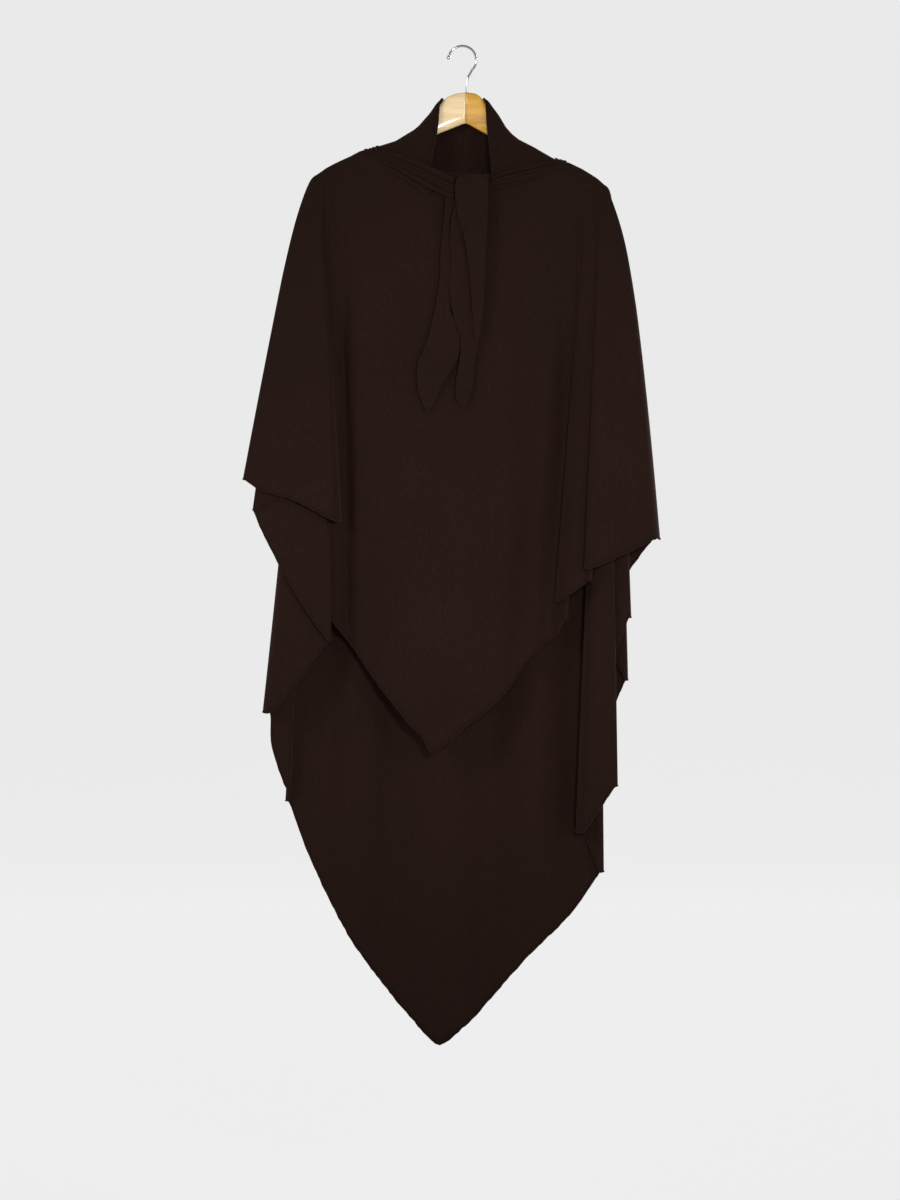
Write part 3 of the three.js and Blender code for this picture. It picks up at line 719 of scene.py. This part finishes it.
strap_right = joined("right_tie", [
    band([
        (142, -7.6, -164.2, -9, 2.4, 1.8, 90),
        (141, -15, -167, -7, 3.4, 2.6, 45),
        (134, -21.5, -171.5, -3, 4.4, 3.6, 12),
        (108.6, -30.5, -179.5, -1.5, 7, 6.5, 0),
        (81.5, -34.5, -186.8, -1, 8.6, 7, 0),
        (55, -36, -193.5, -0.5, 8, 7, 0),
        (38, -36.5, -198.5, 0, 5.8, 5, 0),
        (22, -36.5, -201, 0, 5, 4, 0),
    ], 80, [(0.3, 1.4, 0.12), (-0.35, 0.9, 0.12)], 1.0),
    band([
        (147, -13.5, -170.2, -4, 1.6, 1.8, 60),
        (137, -21, -175.8, -2, 2.6, 2.6, 15),
        (108, -28.4, -187.5, -0.5, 4.5, 3.2, 0),
        (65, -31, -200, 0, 4.8, 3.2, 0),
        (38, -31.5, -204.7, 0, 4.2, 3, 0),
        (20, -31.5, -206, 0, 3, 3, 0),
    ], 60, (), 0.5),
], crepe)
knot = joined("knot", [
    band([
        (13.5, -38, -191.5, 18, 0, 6, 0),
        (13.5, -38, -194, 21, 0, 11, 0),
        (13.5, -38.5, -206, 22.5, 0, 13, 0),
        (13, -38.5, -216, 20, 0, 11, 0),
        (11, -38, -222, 13, 0, 5, 0),
    ], 30, [(-0.85, 0.3, 0.1)], 0.8),
], crepe)


def tail_rows(rows):
    """Rows for a hanging end from its left and right edge, depth, level, thickness and lean."""
    return [((a + b) / 2, y, z, (b - a) / 2, 0, thick, lean) for a, b, y, z, thick, lean in rows]


# left, right, y, z, thickness, lean
tail_left = joined("left_tail", [
    band(tail_rows([
        (-25, -9, -36, -214, 3.4, 0),
        (-26, -13, -38, -230, 3.4, 0),
        (-28.7, -19, -38, -261, 3.4, 0),
        (-32.6, -17, -38, -298, 3.4, 0),
        (-33.6, -15.7, -38, -334, 3.4, 0),
        (-41.8, -17, -38.5, -386, 3.2, 0),
        (-46, -8, -38.5, -402, 3.2, 0),
        (-50, 0, -38.5, -420, 3, 0),
        (-58, -3.5, -38.5, -441, 2.8, 0),
        (-65.3, -10.4, -38.5, -459.5, 2.8, 0),
        (-67, -28.7, -38.5, -489, 2.6, 0),
        (-61.3, -40, -38.5, -514, 2.2, 0),
        (-53.5, -50, -38.5, -531, 1.5, 0),
    ]), 110, [(0.25, 0.35, 0.16), (-0.5, 0.2, 0.12)], 1.3),
], crepe)
tail_right = joined("right_tail", [
    band(tail_rows([
        (-2, 35, -37, -191, 4, 85),
        (-6, 36, -43, -190.8, 4.4, 50),
        (-9.5, 36.5, -46, -195, 4.2, 15),
        (-11.2, 36.4, -46.8, -204, 4, 0),
        (-11.4, 36, -46.8, -222, 3.8, 0),
        (-6, 35.2, -48, -254, 3.4, 0),
        (1.5, 33.5, -49.5, -281, 3.2, 0),
        (8.7, 32, -50, -324, 3, 0),
        (13, 29.5, -50, -381, 2.6, 0),
        (17, 23.8, -48, -426, 1.8, 0),
    ]), 90, [(-0.8, 0.25, 0.1)], 1.1),
    band(tail_rows([
        (-8, 30, -41, -206, 3, 0),
        (-15, 24, -41.4, -240, 3, 0),
        (-19, 18, -41.6, -269, 3, 0),
        (-18, 20, -41.6, -308, 3, 0),
        (-18, 24, -41.8, -373, 3, 0),
        (-10.5, 24.5, -42.4, -402, 3.2, 0),
        (-3.5, 23.5, -43, -425, 3.4, 0),
        (-5.2, 17, -43, -456, 3.4, 0),
        (-10.4, 14.4, -43, -488, 3.2, 0),
        (-9.9, 8.5, -43, -513, 2.6, 0),
        (-3, 2, -43, -524.5, 1.5, 0),
    ]), 110, [(-0.45, 0.5, 0.12), (0.25, 0.45, 0.14)], 1.4),
], crepe)
for made, node in (
    (strap_left, "strap_left"),
    (strap_right, "strap_right"),
    (tail_left, "tail_left"),
    (tail_right, "tail_right"),
    (knot, "tie_knot"),
):
    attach(made, "root")
    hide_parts(node)


# The hems
# A narrow rolled hem, overlocked with matching thread, runs round the whole foot of the cape and round the
# open edge of the hood. The thread crosses the roll in short close loops.

# Coarser than the real thread, whose loops are about 2 mm apart, so that they can be seen
STITCH_SPACING = 4.2


def cord_shape(path, radius, closed, sides=8):
    """Points and faces of a fine round roll along a line of points."""
    path = np.asarray(path, float)
    ahead = np.roll(path, -1, axis=0) - np.roll(path, 1, axis=0)
    if not closed:
        ahead[0], ahead[-1] = path[1] - path[0], path[-1] - path[-2]
    ahead /= np.linalg.norm(ahead, axis=1, keepdims=True)
    side = np.cross(ahead, (0.05, 1, 0.02))
    side /= np.linalg.norm(side, axis=1, keepdims=True)
    up = np.cross(side, ahead)
    turn = np.linspace(0, 2 * math.pi, sides, endpoint=False)
    points = path[:, None] + radius * (
        side[:, None] * np.cos(turn)[None, :, None] + up[:, None] * np.sin(turn)[None, :, None]
    )
    if not closed:
        return points, closed_faces(points)
    rings = len(path)
    faces = [
        (r * sides + s, (r + 1) % rings * sides + s,
         (r + 1) % rings * sides + (s + 1) % sides, r * sides + (s + 1) % sides)
        for r in range(rings)
        for s in range(sides)
    ]
    return points, faces


def input_of(group, name):
    """The identifier of a geometry group's input."""
    return next(i.identifier for i in group.interface.items_tree if i.name == name and i.in_out == "INPUT")


# Overlock thread, a twist of spun polyester in the same dark brown, a little smoother than the cloth
thread, _, thread_shader, _ = new_material("overlock_thread_brown")
thread_shader.inputs["Base Color"].default_value = linear("#22140F")
thread_shader.inputs["Roughness"].default_value = 0.6
thread_shader.inputs["Specular IOR Level"].default_value = 0.3

stitching = bpy.data.node_groups.new("overlock_stitches", "GeometryNodeTree")
stitching.interface.new_socket("Geometry", in_out="INPUT", socket_type="NodeSocketGeometry")
for name, value in (("Spacing", 3.6 * MM), ("Loop radius", 1.35 * MM), ("Thread radius", 0.22 * MM)):
    socket = stitching.interface.new_socket(name, in_out="INPUT", socket_type="NodeSocketFloat")
    socket.default_value = value
stitching.interface.new_socket("Material", in_out="INPUT", socket_type="NodeSocketMaterial")
stitching.interface.new_socket("Geometry", in_out="OUTPUT", socket_type="NodeSocketGeometry")
given = add_node(stitching, "NodeGroupInput").outputs
hem_curve = add_node(stitching, "GeometryNodeMeshToCurve", {"Mesh": given["Geometry"]}).outputs["Curve"]
spots = add_node(
    stitching, "GeometryNodeCurveToPoints", {"Curve": hem_curve, "Length": given["Spacing"]}, mode="LENGTH"
).outputs
loop = add_node(
    stitching, "GeometryNodeCurvePrimitiveCircle", {"Resolution": 9, "Radius": given["Loop radius"]}
).outputs["Curve"]
strand = add_node(
    stitching, "GeometryNodeCurvePrimitiveCircle", {"Resolution": 4, "Radius": given["Thread radius"]}
).outputs["Curve"]
ring_mesh = add_node(
    stitching, "GeometryNodeCurveToMesh", {"Curve": loop, "Profile Curve": strand}
).outputs["Mesh"]
tilted = add_node(
    stitching, "GeometryNodeTransform", {"Geometry": ring_mesh, "Rotation": (0.45, 0.0, 0.0)}
).outputs["Geometry"]
loops = add_node(
    stitching,
    "GeometryNodeInstanceOnPoints",
    {"Points": spots["Points"], "Instance": tilted, "Rotation": spots["Rotation"]},
).outputs["Instances"]
real = add_node(stitching, "GeometryNodeRealizeInstances", {"Geometry": loops}).outputs["Geometry"]
painted = add_node(
    stitching, "GeometryNodeSetMaterial", {"Geometry": real, "Material": given["Material"]}
).outputs["Geometry"]
add_node(stitching, "NodeGroupOutput", {"Geometry": painted})


def stitches(name, path, closed, spacing, loop_radius):
    """Overlock thread round a hem that follows a line of points."""
    made = bpy.data.objects.new(name, bpy.data.meshes.new(name))
    last = len(path) if closed else len(path) - 1
    edges = [(i, (i + 1) % len(path)) for i in range(last)]
    made.data.from_pydata((np.asarray(path) * MM).tolist(), edges, [])
    bpy.context.scene.collection.objects.link(made)
    modifier = made.modifiers.new("stitches", "NODES")
    modifier.node_group = stitching
    modifier[input_of(stitching, "Spacing")] = spacing * MM
    modifier[input_of(stitching, "Loop radius")] = loop_radius * MM
    modifier[input_of(stitching, "Material")] = thread
    return apply_modifiers(made)


foot = grid[-1]
foot_hem = joined("cape_hem", [cord_shape(foot, 1.2, True)], crepe)
foot_thread = stitches("cape_hem_thread", foot, True, STITCH_SPACING, 1.3)
opening_ends = [len(HOOD_LEFT) - 0.4, len(HOOD_LEFT) + len(FACE_OPENING) - 0.6]
rim = hood_grid[0][slice(*np.searchsorted(hood_places, opening_ends))]
rim_hem = joined("hood_hem", [cord_shape(rim, 1.4, False)], crepe)
rim_thread = stitches("hood_hem_thread", rim, False, STITCH_SPACING, 1.5)
for made in (foot_hem, foot_thread, rim_hem, rim_thread):
    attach(made, "root")


# The hanger
# Two halves of turned and flattened hardwood, glued in the middle and varnished clear. The left half is
# painted paler as painted light, and the right half a deeper gold as painted shade. They sweep forwards to
# their rounded ends.

# x, z along the upper and the lower edge of the wood
ARM_TOP = np.array([
    (-221, -200), (-220, -197), (-216, -193), (-211, -190), (-205, -186), (-190, -178), (-149, -159),
    (-126, -152), (-98, -141), (-67, -122.5), (-45, -99), (-35, -86), (-26, -74), (-12, -67.5), (4, -65.4),
    (20, -67.5), (29, -75), (35, -85), (41, -91), (53, -105), (65, -125), (78, -137), (103, -150),
    (132, -169), (154, -177), (173, -186), (188, -195), (196, -202), (200, -206), (202, -209),
    (203, -212),
], float)
ARM_BOTTOM = np.array([
    (-221, -201), (-220, -204), (-216, -208.5), (-211, -210), (-190, -200), (-149, -181), (-98, -158),
    (-38, -127), (4, -110.3), (34, -127), (98, -163), (132, -186), (173, -209), (192, -219), (198, -221),
    (202, -217), (203, -214),
], float)
FLATNESS = 0.62  # 1 is an oval section, and smaller is flatter with rounder corners


def smooth_table(rows, x):
    """A rounded reading of a table along x."""
    spread = [-4, -2, 0, 2, 4]
    lo, hi = rows[0, 0], rows[-1, 0]
    return sum(np.interp(np.clip(x + s, lo, hi), *rows.T) for s in spread) / len(spread)


def wood_half(name, stations, material, sides=44):
    """A half of the hanger through rounded sections, a little thinner where the cloth hides it."""
    points = []
    turn = np.linspace(0, 2 * math.pi, sides, endpoint=False)
    for x in stations:
        top, bottom = smooth_table(ARM_TOP, x), smooth_table(ARM_BOTTOM, x)
        half = (top - bottom) / 2
        thick = np.interp(abs(x), (110, 170), (6, 4.4)) * min(1, (half / 11) ** 0.35)
        up = np.sign(np.sin(turn)) * np.abs(np.sin(turn)) ** FLATNESS
        out = np.sign(np.cos(turn)) * np.abs(np.cos(turn)) ** FLATNESS
        middle = (top + bottom) / 2
        points.append(np.column_stack([np.full(sides, x), swept_y(x) + thick * out, middle + half * up]))
    points = np.array(points)
    return joined(name, [(points, closed_faces(points))], material)


def varnished_wood(name, pale, deep):
    """Wood with fine grain along the arms, under a clear varnish that gives bright soft highlights."""
    material, tree, shader, place = new_material(name)
    along_arm = add_node(
        tree, "ShaderNodeMapping", {"Vector": place, "Scale": (0.06, 1, 1)}
    ).outputs["Vector"]
    grain = add_node(
        tree, "ShaderNodeTexNoise", {"Vector": along_arm, "Scale": 420, "Detail": 4, "Roughness": 0.6}
    ).outputs["Fac"]
    figure = add_node(
        tree, "ShaderNodeTexNoise", {"Vector": along_arm, "Scale": 90, "Detail": 2, "Distortion": 0.6}
    ).outputs["Fac"]
    tone = add_node(
        tree, "ShaderNodeMix", {"Factor": 0.5, "A": grain, "B": figure}, data_type="FLOAT"
    ).outputs["Result"]
    ramp = add_node(tree, "ShaderNodeValToRGB", {"Fac": tone})
    ramp.color_ramp.elements[0].position = 0.35
    ramp.color_ramp.elements[0].color = linear(deep)
    ramp.color_ramp.elements[1].position = 0.62
    ramp.color_ramp.elements[1].color = linear(pale)
    tree.links.new(ramp.outputs["Color"], shader.inputs["Base Color"])
    shader.inputs["Roughness"].default_value = 0.35
    shader.inputs["Coat Weight"].default_value = 0.8
    shader.inputs["Coat Roughness"].default_value = 0.08
    return material


# Painted light and shade: the same wood, painted paler for the left half and a deeper gold for the right half
pale_wood = varnished_wood("varnished_wood_painted_light", "#F3DAAA", "#DDB880")
golden_wood = varnished_wood("varnished_wood_painted_shade", "#E2AC3E", "#BE8722")
left_stations = np.concatenate([[-221, -220.6, -220, -219, -217.5, -215], np.arange(-212, 3.5, 3), [3.9]])
right_stations = np.concatenate([[4.1], np.arange(7, 196, 3), [198, 199.5, 201, 202, 202.6, 203]])
arm_left = wood_half("left_half", left_stations, pale_wood)
arm_right = wood_half("right_half", right_stations, golden_wood)
for made, node, slot in (
    (arm_left, "hanger_arm_left", "pale_wood"),
    (arm_right, "hanger_arm_right", "golden_wood"),
):
    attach(made, "root")
    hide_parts(node)

# The hook
# Chrome-plated steel wire 3.6 mm thick, bent round in a question mark, its free end upset into a small
# ball, and its straight stem pushed down into a bore in the middle of the hanger.

# Polished chrome plate, a clear cool mirror of the studio
chrome, _, chrome_shader, _ = new_material("chrome_plate_polished")
chrome_shader.inputs["Base Color"].default_value = linear("#B9BCBF")
chrome_shader.inputs["Metallic"].default_value = 1
chrome_shader.inputs["Roughness"].default_value = 0.09

WIRE = 1.8
BALL = 2.7
HOOK_RADIUS = 20.4
HOOK_X = -1
HOOK_Z = -18.6


def on_arc(degrees):
    """A place on the round part of the hook, by its angle from the viewer's right."""
    angle = math.radians(degrees)
    return (HOOK_X + HOOK_RADIUS * math.cos(angle), 0, HOOK_Z + HOOK_RADIUS * math.sin(angle))


# x, y, z, radius from the ball at the free end to the foot of the stem
ball_sections = ((178.5, 0.3), (176.5, 0.75), (171, 1), (166, 0.85), (162, 0.667))
hook_rows = [(*on_arc(degrees), share * BALL) for degrees, share in ball_sections]
hook_rows += [(*on_arc(d), WIRE) for d in np.arange(155, -46, -12.5)]
hook_rows += [(x, 0, z, WIRE) for x, z in ((11, -37.5), (8.2, -42), (6.4, -47), (5.8, -53), (5.8, -92))]
hook_line = smooth_line(hook_rows, np.linspace(0, len(hook_rows) - 1, 150))
hook_points = []
HOOK_SIDES = 20
for k, row in enumerate(hook_line):
    ahead = hook_line[min(k + 1, len(hook_line) - 1)][:3] - hook_line[max(k - 1, 0)][:3]
    across = np.cross(ahead, (0, 1, 0))
    across /= np.linalg.norm(across)
    for angle in np.linspace(0, 2 * math.pi, HOOK_SIDES, endpoint=False):
        aside = across * math.cos(angle) + np.array([0, 1, 0]) * math.sin(angle)
        hook_points.append(row[:3] + row[3] * aside)
hook_points = np.array(hook_points).reshape(len(hook_line), HOOK_SIDES, 3)
hook = joined("hook", [(hook_points, closed_faces(hook_points))], chrome)
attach(hook, "root")
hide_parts("hanger_hook")
